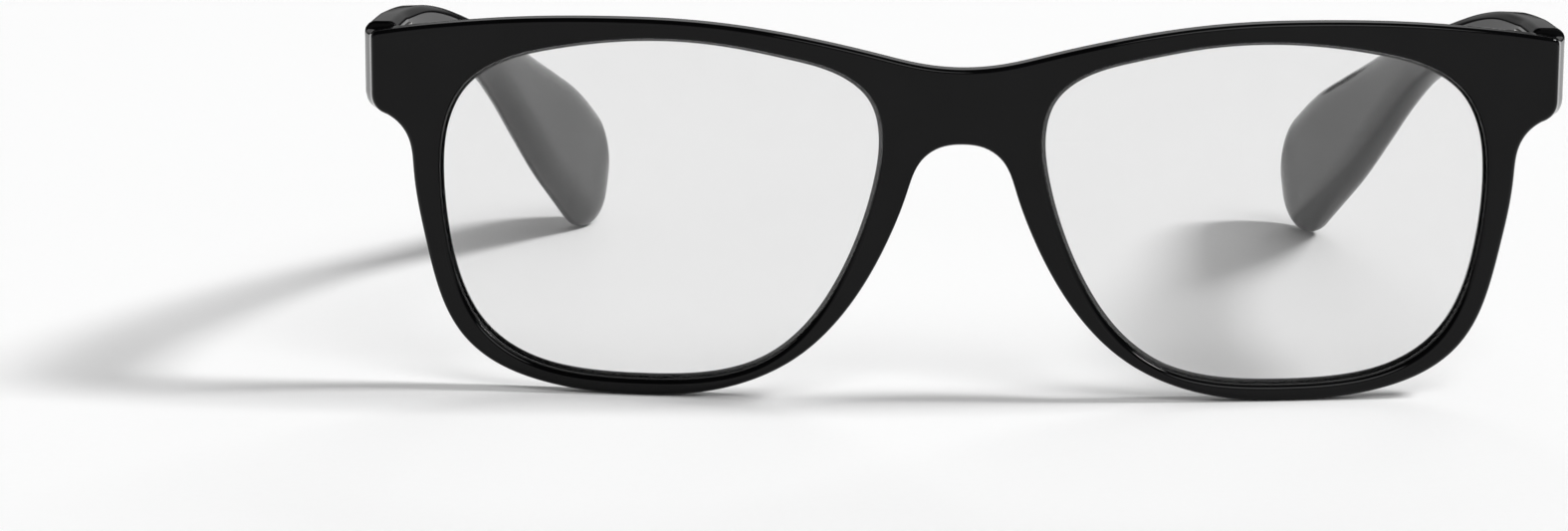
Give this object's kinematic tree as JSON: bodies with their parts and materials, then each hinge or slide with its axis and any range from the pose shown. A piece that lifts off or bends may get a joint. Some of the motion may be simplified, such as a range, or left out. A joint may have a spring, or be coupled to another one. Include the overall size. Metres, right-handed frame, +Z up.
{
  "type": "reading glasses",
  "caption": "Full-rim reading glasses with a keyhole-free saddle bridge, moulded nose pads, plus-power lenses and temples that fold inwards on screwed hinges.",
  "frame": {"origin": "on the surface the glasses stand on, under the middle of their bounding box", "axes": "+X towards the wearer's left, -Y the way the wearer looks, +Z up"},
  "size_m": [0.1438, 0.1403, 0.0451],
  "materials": {
    "frame_plastic": "polished black",
    "lens_plastic": "clear, polished",
    "hinge_metal": "satin nickel plate",
    "core_metal": "drawn wire"
  },
  "bodies": {
    "front": {"front": "frame_plastic", "lens_left": "lens_plastic", "lens_right": "lens_plastic", "hinge_front_leaf_left": "hinge_metal", "hinge_front_leaf_right": "hinge_metal", "hinge_screw_left": "hinge_metal", "hinge_screw_right": "hinge_metal"},
    "temple_left": {"temple_left": "frame_plastic", "temple_core_left": "core_metal", "hinge_temple_leaf_left": "hinge_metal"},
    "temple_right": {"temple_right": "frame_plastic", "temple_core_right": "core_metal", "hinge_temple_leaf_right": "hinge_metal"}
  },
  "joints": [
    {"name": "temple_left_fold", "type": "hinge", "parent": "front", "child": "temple_left", "pos_m": [0.06613, -0.05748, 0.03873], "axis": [0, 0, 1], "range_deg": [0, 79]},
    {"name": "temple_right_fold", "type": "hinge", "parent": "front", "child": "temple_right", "pos_m": [-0.06613, -0.05748, 0.03873], "axis": [0, 0, -1], "range_deg": [0, 84]}
  ]
}
